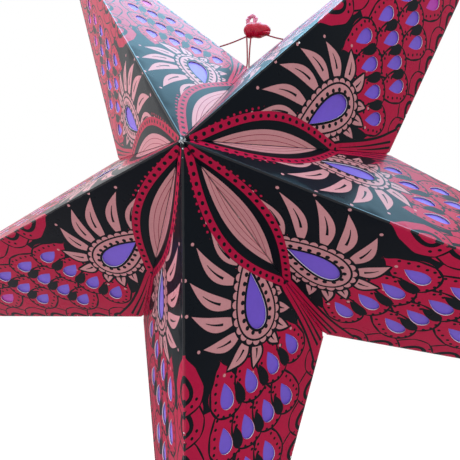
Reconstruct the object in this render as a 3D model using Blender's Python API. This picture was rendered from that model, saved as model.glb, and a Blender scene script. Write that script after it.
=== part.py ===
"""Folding paper star lantern, hung with one arm pointing down.

Five arms are folded from punched card, four triangular panels to an arm, with tinted paper glued in
behind the windows. The arms are glued together at four of the five valleys between them. The fifth
valley, at the top, is an open seam that a red string ties shut. Untied, the star folds flat like a
fan: the arms close about their front ridges and the valleys, and open out about their side edges."""

import math

import bmesh
import bpy
from mathutils import Matrix, Vector

# Size of the open star, in metres, measured on the outside of the card
TIP_RADIUS = 0.300
VALLEY_RADIUS = 0.091
HALF_DEPTH = 0.094
HANG_HEIGHT = 0.129

# Card, and the clearance that stands for its folds and glued seams
CARD = 0.0005
FOLD_GAP = 0.0003
FOLD_RELIEF = 0.0002
CENTRE_CUT = 0.0015
TIP_CUT = 0.001
VALLEY_CUT = 0.001
CORD_NOTCH = 0.011

# Tinted paper glued behind the windows
LINER = 0.00015
PASTE_GAP = 0.00015
LINER_RIDGE_MARGIN = 0.009
LINER_EDGE_MARGIN = 0.004
LINER_VALLEY_MARGIN = 0.004
LINER_CENTRE_CUT = 0.040
LINER_TIP_CUT = 0.004
LINER_NOTCH_MARGIN = 0.002

# Drop windows, in rings about the star's centre
FIRST_RING = 0.115
RING_PITCH = 0.020
DROP_PITCH = 0.016
DROP_LENGTH = 0.013
DROP_WIDTH = 0.0074
DROP_RIDGE_MARGIN = 0.015
DROP_EDGE_MARGIN = 0.0135
DROP_VALLEY_MARGIN = 0.011
DROP_POINTS = 6

# Paisley window in the broad part of the panel, and small ovals near the tip
PAISLEY_RADIUS = 0.082
PAISLEY_TURN_SHARE = 0.64
PAISLEY_LENGTH = 0.027
PAISLEY_WIDTH = 0.0115
PAISLEY_HOOK = 0.006
PAISLEY_POINTS = 12
OVAL_RADII = (0.249, 0.264)
OVAL_RIDGE_MARGIN = 0.0125
OVAL_LENGTH = 0.0075
OVAL_WIDTH = 0.0042
OVAL_POINTS = 6

# Red string that ties the open seam, and the eyelets it is knotted into
STRING_RADIUS = 0.00045
EYELET_RADIUS = 0.0010
EYELET_POINTS = 8
EYELET_ALONG = 0.036
EYELET_INSET = 0.0065
STOPPER_RADIUS = 0.0016
STOPPER_DEPTH = 0.0026
STOPPER_SWELL_SHARES = (0.35, 0.85, 1.0, 0.85, 0.45)
NECK_SHARES = (0.3, 0.8)
STRING_REACH = 0.0016
STRING_SAG = 0.0012
STRING_SAG_SHARE = 0.5
STRING_ROUND_STEPS = 2
TIE_ROUTE_STEPS = 5
DROP_ROUTE_STEPS = 3
KNOT_LENGTH = 0.0195
KNOT_HEIGHT = 0.0105
KNOT_DEPTH = 0.0090
KNOT_OFFSET = 0.0042
KNOT_DROP = 0.0098
KNOT_TURNS = 4
KNOT_RINGS_A_TURN = 4
KNOT_SIDES = 10
KNOT_END_SHARE = 0.08
KNOT_GROOVE_SHARE = 0.10
KNOT_ROUNDNESS = 0.6
KNOT_TIE_DROP = 0.0021
STRING_GAP = 0.0003
LOOP_RADIUS = 0.0031
LOOP_STRING_RADIUS = 0.00095
LOOP_FOOT_ANGLE = math.radians(-40)
LOOP_STEPS = 12
DROP_STRING_LENGTH = 0.031
DROP_STRING_TOP_SPREAD = 0.0030
DROP_STRING_WAIST_SPREAD = 0.0016
DROP_STRING_FOOT_SPREAD = 0.0038
DROP_STRING_SETBACK = 0.0036
DROP_STRING_OFFSET = -0.0012
DROP_STRING_UPPER_SHARE = 0.35
DROP_STRING_WAIST_SHARE = 0.62
DROP_STRING_CALF_SHARE = 0.78
DROP_STRING_FOOT_SHARE = 0.92
CUT_OVERRUN = 0.002

ARM_NAMES = ("upper_right", "right", "bottom", "left", "upper_left")
FIRST_ARM_ANGLE = math.radians(54)
ARM_STEP = math.radians(72)
SIDES = {"ccw": 1, "cw": -1}
FACES = {"front": 1, "back": -1}
SEAM_PANELS = ("upper_right_arm_back_ccw_panel", "upper_left_arm_back_cw_panel")


def clear_scene():
    for obj in list(bpy.data.objects):
        bpy.data.objects.remove(obj)


def make_material(name, colour, roughness, sheen=0.0):
    material = bpy.data.materials.new(name)
    material.use_nodes = True
    shader = material.node_tree.nodes["Principled BSDF"]
    shader.inputs["Base Color"].default_value = (*colour, 1.0)
    shader.inputs["Roughness"].default_value = roughness
    shader.inputs["Metallic"].default_value = 0.0
    shader.inputs["Coat Weight"].default_value = sheen
    return material


def star_point(across, up, forward):
    """A point given from the star's centre, in the frame whose origin is the hanging loop."""
    return Vector((across, -forward, up - HANG_HEIGHT))


def arm_angle(index):
    return FIRST_ARM_ANGLE - index * ARM_STEP


def corners(angle, side, face):
    """The panel's centre corner, tip and valley corner, for the arm at this angle."""
    valley = angle + side * ARM_STEP / 2
    return (
        star_point(0, 0, face * HALF_DEPTH),
        star_point(TIP_RADIUS * math.cos(angle), TIP_RADIUS * math.sin(angle), 0),
        star_point(VALLEY_RADIUS * math.cos(valley), VALLEY_RADIUS * math.sin(valley), 0),
    )


def plane_angle(first, second):
    """The sharp angle between two planes given by their normals."""
    return math.acos(min(1.0, abs(first.normalized().dot(second.normalized()))))


class PanelShape:
    """The flat triangle that every panel is cut from, with the half angles of its three folds.

    Lengths run along the ridge from the centre corner, and across from the ridge to the valley."""

    def __init__(self):
        centre, tip, valley = corners(0, 1, 1)
        ridge_way = (tip - centre).normalized()
        self.ridge = (tip - centre).length
        self.valley_along = (valley - centre).dot(ridge_way)
        self.valley_across = ((valley - centre) - ridge_way * self.valley_along).length
        normal = (tip - centre).cross(valley - centre)
        turn = ARM_STEP / 2
        self.ridge_half = plane_angle(normal, Vector((0, 0, 1)))
        self.edge_half = plane_angle(normal, Vector((0, 1, 0)))
        self.valley_half = plane_angle(normal, Vector((-math.sin(turn), 0, math.cos(turn))))
        self.tip_angle = math.atan2(self.valley_across, self.ridge - self.valley_along)
        self.centre_angle = math.atan2(self.valley_across, self.valley_along)
        self.edge_distance = self.ridge * math.sin(self.tip_angle)


SHAPE = PanelShape()
CENTRE_CORNER = Vector((0, 0))
TIP_CORNER = Vector((SHAPE.ridge, 0))
VALLEY_CORNER = Vector((SHAPE.valley_along, SHAPE.valley_across))


def inset_line(start, end, inset):
    """A line along one edge, moved into the triangle, as (point, direction)."""
    way = (end - start).normalized()
    return start + Vector((-way.y, way.x)) * inset, way


def corner_line(before, corner, after, cut):
    """A line across one corner, square to its bisector, as (point, direction)."""
    bisector = ((before - corner).normalized() + (after - corner).normalized()).normalized()
    return corner + bisector * cut, Vector((bisector.y, -bisector.x))


def crossing(first, second):
    (start, way), (other, other_way) = first, second
    share = (other - start).cross(other_way) / way.cross(other_way)
    return start + way * share


def inset_edges(insets):
    """The triangle's edges (ridge, side edge, valley), each moved in by its own inset."""
    points = (CENTRE_CORNER, TIP_CORNER, VALLEY_CORNER)
    return [inset_line(points[i], points[(i + 1) % 3], insets[i]) for i in range(3)]


def trimmed_triangle(insets, cuts):
    """Six corners of the triangle with its edges moved in and its corners cut off.

    Cuts are for the centre, tip and valley corners, each as long as it is on the card's inside,
    where the mitred edges leave the least."""
    points = (CENTRE_CORNER, TIP_CORNER, VALLEY_CORNER)
    edges = inset_edges(insets)
    inner = inset_edges([max(pair) for pair in zip(insets, fold_insets(CARD))])
    ends = []
    for i in range(3):
        apex = (crossing(inner[i - 1], inner[i]) - points[i]).length
        ends.append(corner_line(points[i - 1], points[i], points[(i + 1) % 3], apex + cuts[i]))
    outline = []
    for i in range(3):
        outline.append(crossing(ends[i], edges[i]))
        outline.append(crossing(edges[i], ends[(i + 1) % 3]))
    return outline


def fold_insets(depth):
    """How far the panel's three edges stand back from its folds, at a depth inside the card."""
    relief = FOLD_RELIEF * depth / CARD
    return (
        FOLD_GAP / 2 / math.sin(SHAPE.ridge_half) + depth / math.tan(SHAPE.ridge_half) + relief,
        FOLD_GAP / 2 / math.sin(SHAPE.edge_half) + depth / math.tan(SHAPE.edge_half),
        FOLD_GAP / 2 / math.sin(SHAPE.valley_half),
    )


def drop_outline(length, width, count, hook=0.0):
    """A teardrop with its point at -X. A hook bends the point aside, which makes a paisley."""
    widest = 4 / (3 * math.sqrt(3))
    points = []
    for i in range(count):
        turn = 2 * math.pi * i / count
        along = -length / 2 * math.cos(turn)
        across = width / 2 * math.sin(turn) * math.sin(turn / 2) / widest
        bend = hook * ((length / 2 - along) / length) ** 2
        points.append(Vector((along, across + bend)))
    return points


def oval_outline(length, width, count):
    turns = [2 * math.pi * i / count for i in range(count)]
    return [Vector((length / 2 * math.cos(t), width / 2 * math.sin(t))) for t in turns]


def placed(outline, radius, turn):
    """An outline moved out along a ray from the centre corner and turned with that ray."""
    rotation = Matrix.Rotation(turn, 2)
    return [rotation @ (point + Vector((radius, 0))) for point in outline]


def ring_turns(radius):
    """Where the drops sit on one ring: evenly between the margins along the panel's edges."""
    first = math.asin(DROP_RIDGE_MARGIN / radius)
    reach = (SHAPE.edge_distance - DROP_EDGE_MARGIN) / radius
    last = math.pi / 2 - SHAPE.tip_angle - math.acos(min(1.0, reach))
    last = min(last, SHAPE.centre_angle - math.asin(DROP_VALLEY_MARGIN / radius))
    if last < first:
        return []
    count = 1 + math.floor((last - first) * radius / DROP_PITCH)
    return [first + (last - first) * (i + 0.5) / count for i in range(count)]


def window_outlines():
    """Every window of a panel, in panel lengths."""
    windows = []
    turn = SHAPE.centre_angle * PAISLEY_TURN_SHARE
    paisley = drop_outline(PAISLEY_LENGTH, PAISLEY_WIDTH, PAISLEY_POINTS, PAISLEY_HOOK)
    windows.append(placed(paisley, PAISLEY_RADIUS, turn))
    radius = FIRST_RING
    while ring_turns(radius):
        for turn in ring_turns(radius):
            windows.append(placed(drop_outline(DROP_LENGTH, DROP_WIDTH, DROP_POINTS), radius, turn))
        radius += RING_PITCH
    for radius in OVAL_RADII:
        turn = math.asin(OVAL_RIDGE_MARGIN / radius)
        windows.append(placed(oval_outline(OVAL_LENGTH, OVAL_WIDTH, OVAL_POINTS), radius, turn))
    return windows


def eyelet_outline():
    """The string's hole, beside the side edge of the two panels that meet at the open seam."""
    way = (TIP_CORNER - VALLEY_CORNER).normalized()
    inward = Vector((way.y, -way.x))
    middle = VALLEY_CORNER + way * EYELET_ALONG + inward * EYELET_INSET
    ring = oval_outline(2 * EYELET_RADIUS, 2 * EYELET_RADIUS, EYELET_POINTS)
    return [middle + point for point in ring]


def signed_area(loop):
    """Twice the area inside a flat loop, positive where it runs anticlockwise seen from above."""
    return sum(loop[i - 1].x * loop[i].y - loop[i].x * loop[i - 1].y for i in range(len(loop)))


def add_prism(mesh, top, bottom):
    """One closed prism between two matching loops of points, the top one above the bottom."""
    if signed_area(top) < 0:
        top, bottom = top[::-1], bottom[::-1]
    upper = [mesh.verts.new(point) for point in top]
    lower = [mesh.verts.new(point) for point in bottom]
    mesh.faces.new(upper)
    mesh.faces.new(lower[::-1])
    for i in range(len(upper)):
        j = (i + 1) % len(upper)
        mesh.faces.new((upper[j], upper[i], lower[i], lower[j]))


def lift(outline, hand, height):
    return [Vector((point.x, hand * point.y, height)) for point in outline]


def mesh_from_prisms(name, prisms):
    """A mesh of closed prisms, each given as its top and bottom loop."""
    build = bmesh.new()
    for top, bottom in prisms:
        add_prism(build, top, bottom)
    mesh = bpy.data.meshes.new(name)
    build.to_mesh(mesh)
    build.free()
    return mesh


def panel_matrix(angle, side, face):
    """X along the ridge, Z out of the card, and the origin on the panel's centre corner."""
    centre, tip, valley = corners(angle, side, face)
    along = (tip - centre).normalized()
    outward = along.cross(valley - centre).normalized() * side * face
    across = outward.cross(along)
    matrix = Matrix((along, across, outward)).transposed().to_4x4()
    matrix.translation = centre
    return matrix


def axis_matrix(point, direction):
    """An empty's frame, with X along a fold."""
    matrix = direction.to_track_quat("X", "Z").to_matrix().to_4x4()
    matrix.translation = point
    return matrix


def place(obj, matrix, parent=None):
    """Puts an object at a place in the star's frame and hangs it on its parent."""
    bpy.context.collection.objects.link(obj)
    obj.matrix_basis = matrix
    obj["home"] = [value for row in matrix for value in row]
    if parent:
        home = list(parent["home"])
        rest = Matrix([home[i : i + 4] for i in range(0, 16, 4)])
        obj.parent = parent
        obj.matrix_parent_inverse = rest.inverted()
    return obj


def add_fold(name, point, direction, parent):
    """An empty that marks a fold's axis. Turning it moves all that folds with it."""
    return place(bpy.data.objects.new(name, None), axis_matrix(point, direction), parent)


def add_cutter(name, hand, outlines, owner, matrix):
    """Prisms that punch windows and eyelets through the card or the liner that owns them."""
    deep = CARD + PASTE_GAP + LINER + CUT_OVERRUN
    prisms = [(lift(o, hand, CUT_OVERRUN), lift(o, hand, -deep)) for o in outlines]
    cutter = place(bpy.data.objects.new(name, mesh_from_prisms(name, prisms)), matrix, owner)
    cutter.hide_render = True
    cutter.display_type = "WIRE"
    punch = owner.modifiers.new("Windows", "BOOLEAN")
    punch.operation = "DIFFERENCE"
    punch.solver = "MANIFOLD"
    punch.object = cutter


def add_panel(name, hand, matrix, parent, material):
    """A card panel with mitred edges and punched windows."""
    at_seam = name in SEAM_PANELS
    top_cut = CORD_NOTCH if at_seam else VALLEY_CUT
    cuts = (CENTRE_CUT, TIP_CUT, top_cut)
    outer = trimmed_triangle(fold_insets(0), cuts)
    inner = trimmed_triangle(fold_insets(CARD), cuts)
    mesh = mesh_from_prisms(name, [(lift(outer, hand, 0), lift(inner, hand, -CARD))])
    panel = place(bpy.data.objects.new(name, mesh), matrix, parent)
    panel.data.materials.append(material)
    outlines = window_outlines() + ([eyelet_outline()] if at_seam else [])
    add_cutter(name + "_punch", hand, outlines, panel, matrix)
    return panel


def add_liner(panel, hand, matrix, material):
    """A sheet of tinted paper, pasted inside the panel over its windows."""
    name = panel.name.replace("_panel", "_liner")
    insets = (LINER_RIDGE_MARGIN, LINER_EDGE_MARGIN, LINER_VALLEY_MARGIN)
    cuts = (LINER_CENTRE_CUT, LINER_TIP_CUT, CORD_NOTCH + LINER_NOTCH_MARGIN)
    outline = trimmed_triangle(insets, cuts)
    top = -CARD - PASTE_GAP
    mesh = mesh_from_prisms(name, [(lift(outline, hand, top), lift(outline, hand, top - LINER))])
    liner = place(bpy.data.objects.new(name, mesh), matrix, panel)
    liner.data.materials.append(material)
    if panel.name in SEAM_PANELS:
        add_cutter(name + "_punch", hand, [eyelet_outline()], liner, matrix)
    return liner


def ridge_axis_point(angle):
    """Where the front ridge's fold line, on the inside of the card, starts at the centre."""
    centre, tip, _ = corners(angle, 1, 1)
    along = (tip - centre).normalized()
    inward = star_point(0, 0, 0) - centre
    inward = (inward - along * inward.dot(along)).normalized()
    return centre + inward * CARD / math.sin(SHAPE.ridge_half)


def build_arms(card, paper):
    """All panels, from the panel by the knot round to the far side of the open seam.

    Each front panel folds on the front panel before it, about the ridge of its own arm or the
    valley between two arms, and each back panel folds on its front panel at their side edge."""
    last_front = None
    for index, arm in enumerate(ARM_NAMES):
        angle = arm_angle(index)
        for side_name, side in SIDES.items():
            centre, tip, valley = corners(angle, side, 1)
            names = {face: f"{arm}_arm_{face}_{side_name}_panel" for face in FACES}
            back_matrix = panel_matrix(angle, side, -1)
            front_matrix = panel_matrix(angle, side, 1)
            if last_front is None:
                back = add_panel(names["back"], -side, back_matrix, None, card)
                edge = add_fold("star_fold", tip, tip - valley, back)
                front = add_panel(names["front"], side, front_matrix, edge, card)
            else:
                if side > 0:
                    fold = add_fold(f"{arm}_valley_fold", centre, valley - centre, last_front)
                else:
                    fold = add_fold(f"{arm}_ridge_fold", ridge_axis_point(angle), tip - centre, last_front)
                front = add_panel(names["front"], side, front_matrix, fold, card)
                edge = add_fold(f"{arm}_{side_name}_edge_fold", tip, tip - valley, front)
                back = add_panel(names["back"], -side, back_matrix, edge, card)
            add_liner(front, side, front_matrix, paper)
            add_liner(back, -side, back_matrix, paper)
            last_front = front


def add_tube(name, points, radius, parent, material, swells=None):
    """A string along a smooth curve through points, with filled ends. Swells are radius shares."""
    curve = bpy.data.curves.new(name, "CURVE")
    curve.dimensions = "3D"
    curve.bevel_depth = radius
    curve.bevel_resolution = STRING_ROUND_STEPS
    curve.use_fill_caps = True
    spline = curve.splines.new("POLY")
    spline.points.add(len(points) - 1)
    for i, point in enumerate(points):
        spline.points[i].co = (*point, 1)
        spline.points[i].radius = swells[i] if swells else 1
    tube = place(bpy.data.objects.new(name, curve), Matrix.Identity(4), parent)
    curve.materials.append(material)
    return tube


def smooth_route(points, steps):
    """Points along a Catmull-Rom curve through the given ones."""
    ends = [points[0] * 2 - points[1], *points, points[-1] * 2 - points[-2]]
    route = []
    for i in range(len(points) - 1):
        before, start, end, after = ends[i : i + 4]
        for step in range(steps):
            share = step / steps
            route.append(
                (
                    start * 2
                    + (end - before) * share
                    + (before * 2 - start * 5 + end * 4 - after) * share**2
                    + (start * 3 - before - end * 3 + after) * share**3
                )
                / 2
            )
    return [*route, points[-1]]


def knot_centre():
    return star_point(KNOT_OFFSET, HANG_HEIGHT - KNOT_DROP, 0)


def knot_share(share):
    """How thick the knot is along its length, from 0 to 1, with a groove between its turns."""
    envelope = math.sin(math.pi * (KNOT_END_SHARE + (1 - 2 * KNOT_END_SHARE) * share)) ** KNOT_ROUNDNESS
    return envelope * (1 - KNOT_GROOVE_SHARE * abs(math.cos(math.pi * KNOT_TURNS * share)))


def knot_surface(x, way):
    """A point on the knot's top (way 1) or bottom (way -1), with the string's clearance."""
    middle = knot_centre()
    half = knot_share((x - middle.x) / KNOT_LENGTH + 0.5) * KNOT_HEIGHT / 2
    return Vector((x, 0, middle.z + way * (half + STRING_GAP)))


def add_tie_string(name, index, side, panel, material):
    """One half of the tie: a stopper knot inside the arm, out through the eyelet to the knot."""
    matrix = panel_matrix(arm_angle(index), side, -1)
    ring = eyelet_outline()
    middle = sum(ring, Vector((0, 0))) / len(ring)
    eyelet = matrix @ Vector((middle.x, -side * middle.y, 0))
    outward = matrix.to_3x3() @ Vector((0, 0, 1))
    inner_face = CARD + PASTE_GAP + LINER
    stopper = eyelet - outward * (inner_face + STRING_GAP + STOPPER_DEPTH)
    collar = eyelet - outward * (inner_face + STRING_GAP)
    mouth = eyelet + outward * STRING_REACH
    knot_end = knot_centre() + Vector((side * (KNOT_LENGTH / 2 + STRING_GAP), 0, 0))
    knot_end.z -= KNOT_TIE_DROP
    sag = mouth.lerp(knot_end, STRING_SAG_SHARE) - Vector((0, 0, STRING_SAG))
    bulge = STOPPER_RADIUS / STRING_RADIUS
    swells = [bulge * share for share in STOPPER_SWELL_SHARES]
    last = len(swells) - 1
    knob = [stopper.lerp(collar, i / last) for i in range(len(swells))]
    neck = [collar.lerp(mouth, share) for share in NECK_SHARES]
    line = [*neck, *smooth_route([mouth, sag, knot_end], TIE_ROUTE_STEPS)]
    radii = [*swells, *[1] * len(line)]
    return add_tube(name, [*knob, *line], STRING_RADIUS, panel, material, radii)


def add_knot(name, parent, material):
    """The wrapped knot: turns of string side by side about a horizontal core."""
    build = bmesh.new()
    count, sides = KNOT_RINGS_A_TURN * KNOT_TURNS, KNOT_SIDES
    rings = []
    for i in range(count + 1):
        share = i / count
        place_x = (share - 0.5) * KNOT_LENGTH
        turns = [2 * math.pi * k / sides for k in range(sides)]
        size = knot_share(share)
        rings.append(
            [
                build.verts.new(
                    (
                        place_x,
                        size * KNOT_DEPTH / 2 * math.cos(turn),
                        size * KNOT_HEIGHT / 2 * math.sin(turn),
                    )
                )
                for turn in turns
            ]
        )
    for first, second in zip(rings, rings[1:]):
        for k in range(sides):
            j = (k + 1) % sides
            build.faces.new((first[k], first[j], second[j], second[k]))
    build.faces.new(rings[0][::-1])
    build.faces.new(rings[-1])
    bmesh.ops.recalc_face_normals(build, faces=build.faces)
    mesh = bpy.data.meshes.new(name)
    build.to_mesh(mesh)
    build.free()
    mesh.shade_smooth()
    mesh.materials.append(material)
    return place(bpy.data.objects.new(name, mesh), Matrix.Translation(knot_centre()), parent)


def add_loop(name, parent, material):
    """The small standing loop that the star hangs by, its feet on top of the knot."""
    sweep = math.pi - 2 * LOOP_FOOT_ANGLE
    turns = [LOOP_FOOT_ANGLE + sweep * i / LOOP_STEPS for i in range(LOOP_STEPS + 1)]
    ring = [Vector((math.cos(turn), 0, math.sin(turn))) * LOOP_RADIUS for turn in turns]
    points = [knot_surface(ring[0].x, 1), *ring, knot_surface(ring[-1].x, 1)]
    return add_tube(name, points, LOOP_STRING_RADIUS, parent, material)


def add_drop_string(name, parent, material):
    """The doubled string that drops from the knot through the notch, with a round bight at its foot."""
    middle = DROP_STRING_OFFSET
    half_top, half_waist = DROP_STRING_TOP_SPREAD / 2, DROP_STRING_WAIST_SPREAD / 2
    half_foot = DROP_STRING_FOOT_SPREAD / 2
    half_calf = (half_waist + half_foot) / 2
    first, last = knot_surface(middle - half_top, -1), knot_surface(middle + half_top, -1)
    back = DROP_STRING_SETBACK
    stations = (
        (DROP_STRING_UPPER_SHARE, half_waist, back / 2),
        (DROP_STRING_WAIST_SHARE, half_waist, back),
        (DROP_STRING_CALF_SHARE, half_calf, back),
        (DROP_STRING_FOOT_SHARE, half_foot, back),
    )
    left, right = [], []
    for share, half, depth in stations:
        height = first.z - DROP_STRING_LENGTH * share
        left.append(Vector((middle - half, depth, height)))
        right.append(Vector((middle + half, depth, height)))
    foot = Vector((middle, back, first.z - DROP_STRING_LENGTH))
    points = [first, *left, foot, *right[::-1], last]
    return add_tube(name, smooth_route(points, DROP_ROUTE_STEPS), STRING_RADIUS, parent, material)


def build_strings(material):
    """Both halves of the tie, the knot and what hangs on it. All but the left half stay with the
    upper right arm when the star is untied and folded."""
    right_panel = bpy.data.objects[SEAM_PANELS[0]]
    left_panel = bpy.data.objects[SEAM_PANELS[1]]
    add_tie_string("tie_string_right", 0, 1, right_panel, material)
    add_tie_string("tie_string_left", len(ARM_NAMES) - 1, -1, left_panel, material)
    add_knot("tie_knot", right_panel, material)
    add_loop("hanging_loop", right_panel, material)
    add_drop_string("drop_string", right_panel, material)


def main():
    clear_scene()
    card = make_material("printed_card", (0.24, 0.03, 0.07), 0.32, 0.3)
    violet = make_material("violet_paper", (0.16, 0.08, 0.55), 0.6)
    red = make_material("red_string", (0.55, 0.01, 0.03), 0.35)
    build_arms(card, violet)
    build_strings(red)


if __name__ == "__main__":
    main()
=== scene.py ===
import math

import bmesh
import bpy
import numpy as np
from mathutils import Matrix, Vector, noise
from mathutils.geometry import delaunay_2d_cdt


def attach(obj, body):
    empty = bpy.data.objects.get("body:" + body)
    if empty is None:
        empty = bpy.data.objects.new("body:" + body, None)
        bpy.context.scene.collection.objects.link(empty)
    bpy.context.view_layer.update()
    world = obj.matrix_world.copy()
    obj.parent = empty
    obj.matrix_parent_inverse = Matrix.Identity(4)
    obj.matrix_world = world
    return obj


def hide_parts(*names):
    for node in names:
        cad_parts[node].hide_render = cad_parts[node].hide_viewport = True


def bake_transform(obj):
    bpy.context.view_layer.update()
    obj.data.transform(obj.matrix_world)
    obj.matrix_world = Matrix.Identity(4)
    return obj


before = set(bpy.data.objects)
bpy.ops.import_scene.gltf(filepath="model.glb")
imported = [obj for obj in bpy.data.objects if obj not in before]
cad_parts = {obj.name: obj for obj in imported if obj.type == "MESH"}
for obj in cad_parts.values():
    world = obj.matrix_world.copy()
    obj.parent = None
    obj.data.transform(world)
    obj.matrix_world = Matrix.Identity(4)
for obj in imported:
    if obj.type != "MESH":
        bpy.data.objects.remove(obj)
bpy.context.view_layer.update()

# Sizes of the star's solids, in millimetres. Drawings on a panel are in millimetres too.
MM = 0.001
TIP_RADIUS = 300.0
VALLEY_RADIUS = 91.0
HALF_DEPTH = 94.0
HANG_HEIGHT = 129.0
CARD = 0.5
ARMS = ("upper_right", "right", "bottom", "left", "upper_left")
FIRST_ARM = math.radians(54)
ARM_STEP = math.radians(72)
SIDES = {"ccw": 1, "cw": -1}
FACES = {"front": 1, "back": -1}
SEAM_PANELS = ("upper_right_arm_back_ccw", "upper_left_arm_back_cw")
MAP_SCALE = 2.0  # units of a panel's map to the metre


# Camera


def add_camera():
    """The photograph's viewpoint, fitted to the star's folds: low, right of centre and close."""
    camera = bpy.data.cameras.new("camera")
    camera.lens = 32.87
    camera.sensor_width = 36
    camera.shift_x = 0.0104
    camera.shift_y = -0.0533
    camera.clip_start = 0.01
    camera.clip_end = 30
    holder = bpy.data.objects.new("camera", camera)
    holder.location = (0.06479, -0.24034, -0.19339)
    holder.rotation_euler = [math.radians(turn) for turn in (103.72, -4.731, 15.633)]
    bpy.context.collection.objects.link(holder)
    bpy.context.scene.camera = holder


# The star's planes


def star_point(across, up, forward):
    """A point given from the star's centre in millimetres, in the row frame in metres."""
    return Vector((across, -forward, up - HANG_HEIGHT)) * MM


def arm_angle(index):
    return FIRST_ARM - index * ARM_STEP


def corners(angle, side, face):
    valley = angle + side * ARM_STEP / 2
    return (
        star_point(0, 0, face * HALF_DEPTH),
        star_point(TIP_RADIUS * math.cos(angle), TIP_RADIUS * math.sin(angle), 0),
        star_point(VALLEY_RADIUS * math.cos(valley), VALLEY_RADIUS * math.sin(valley), 0),
    )


def panel_matrix(angle, side, face):
    """X along the ridge, Z out of the card, and the origin on the panel's centre corner."""
    centre, tip, valley = corners(angle, side, face)
    along = (tip - centre).normalized()
    outward = along.cross(valley - centre).normalized() * side * face
    across = outward.cross(along)
    matrix = Matrix((along, across, outward)).transposed().to_4x4()
    matrix.translation = centre
    return matrix


def measure_panel():
    """A panel's triangle in millimetres: its centre corner, its tip and its valley corner."""
    centre, tip, valley = corners(0, 1, 1)
    along = (tip - centre).normalized()
    reach = (valley - centre).dot(along)
    rise = ((valley - centre) - along * reach).length
    return np.array([(0, 0), ((tip - centre).length / MM, 0), (reach / MM, rise / MM)])


PANEL = measure_panel()
CENTRE_CORNER, TIP_CORNER, VALLEY_CORNER = PANEL
TIP_TURN = math.atan2(VALLEY_CORNER[1], TIP_CORNER[0] - VALLEY_CORNER[0])
VALLEY_TURN = math.atan2(VALLEY_CORNER[1], VALLEY_CORNER[0])
EDGE_DISTANCE = TIP_CORNER[0] * math.sin(TIP_TURN)

# Directions on a panel: in from the ridge, out along the side edge, and in from that edge
RIDGE_IN = np.array((0.0, 1.0))
EDGE = TIP_CORNER - VALLEY_CORNER
EDGE_LENGTH = np.linalg.norm(EDGE)
EDGE_WAY = EDGE / EDGE_LENGTH
EDGE_IN = np.array((EDGE_WAY[1], -EDGE_WAY[0]))


class PanelPlace:
    """Where a panel is, and the body that carries it."""

    def __init__(self, index, side_name, face_name):
        side, face = SIDES[side_name], FACES[face_name]
        self.body = f"{ARMS[index]}_arm_{face_name}_{side_name}"
        self.corners = corners(arm_angle(index), side, face)
        self.matrix = panel_matrix(arm_angle(index), side, face)
        self.hand = side * face
        self.outward = np.array(self.matrix.to_3x3() @ Vector((0, 0, 1)))

    def point(self, place, height=0.0):
        """A place on the panel, in millimetres, as a point in the row frame, in millimetres."""
        x, y = place
        return np.array(self.matrix @ Vector((x * MM, self.hand * y * MM, height * MM))) / MM


def all_panels():
    return [
        PanelPlace(index, side_name, face_name)
        for index in range(len(ARMS))
        for side_name in SIDES
        for face_name in FACES
    ]


# Outlines, as arrays of points


def ray_point(radius, turn):
    return np.array((math.cos(turn), math.sin(turn))) * radius


def turned(points, turn):
    c, s = math.cos(turn), math.sin(turn)
    return np.asarray(points) @ np.array(((c, s), (-s, c)))


def on_ray(points, radius, turn):
    """An outline moved out along a ray from the centre corner and turned with that ray."""
    return turned(np.asarray(points) + (radius, 0), turn)


def drop(length, width, count=26, hook=0.0):
    """A teardrop with its point at -X. A hook bends the point aside, which makes a paisley."""
    t = np.arange(count) * 2 * math.pi / count
    along = -length / 2 * np.cos(t)
    across = width / 2 * np.sin(t) * np.sin(t / 2) * 3 * math.sqrt(3) / 4
    return np.stack((along, across + hook * ((length / 2 - along) / length) ** 2), 1)


def oval(length, width, count=16):
    t = np.arange(count) * 2 * math.pi / count
    return np.stack((length / 2 * np.cos(t), width / 2 * np.sin(t)), 1)


def disc(centre, radius, count=10):
    return oval(2 * radius, 2 * radius, count) + np.asarray(centre)


def unit(ways):
    return ways / np.maximum(np.linalg.norm(ways, axis=1, keepdims=True), 1e-9)


def normals_of(outline):
    """Unit normals at an outline's points, outward where it runs anticlockwise."""
    way = unit(np.roll(outline, -1, 0) - np.roll(outline, 1, 0))
    return np.stack((way[:, 1], -way[:, 0]), 1)


def area_of(outline):
    x, y = outline[:, 0], outline[:, 1]
    return float(np.sum(x * np.roll(y, -1) - np.roll(x, -1) * y)) / 2


def grown(outline, distance):
    """The outline moved outward by a distance, or by one for each point."""
    sign = 1 if area_of(outline) > 0 else -1
    return outline + normals_of(outline) * sign * np.reshape(distance, (-1, 1))


def wavy(outline, inset, height, waves):
    """The outline moved in, with a scalloped edge."""
    t = np.arange(len(outline)) / len(outline)
    return grown(outline, -inset - height * np.abs(np.cos(math.pi * waves * t)))


def smooth_line(points, steps=6):
    """A Catmull-Rom curve through the points."""
    p = [np.asarray(x, float) for x in points]
    p = [2 * p[0] - p[1], *p, 2 * p[-1] - p[-2]]
    line = []
    for a, b, c, d in zip(p, p[1:], p[2:], p[3:]):
        for i in range(steps):
            t = i / steps
            bend = (2 * a - 5 * b + 4 * c - d) * t * t + (3 * b - a - 3 * c + d) * t**3
            line.append((2 * b + (c - a) * t + bend) / 2)
    return np.array([*line, p[-2]])


def lengths_along(line):
    return np.concatenate(([0], np.cumsum(np.linalg.norm(np.diff(line, axis=0), axis=1))))


def along_line(line, places):
    """Points and unit directions at places along a line."""
    at = lengths_along(line)

    def points_at(where):
        return np.stack([np.interp(where, at, line[:, k]) for k in range(line.shape[1])], 1)

    return points_at(places), unit(points_at(np.add(places, 0.1)) - points_at(np.subtract(places, 0.1)))


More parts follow.
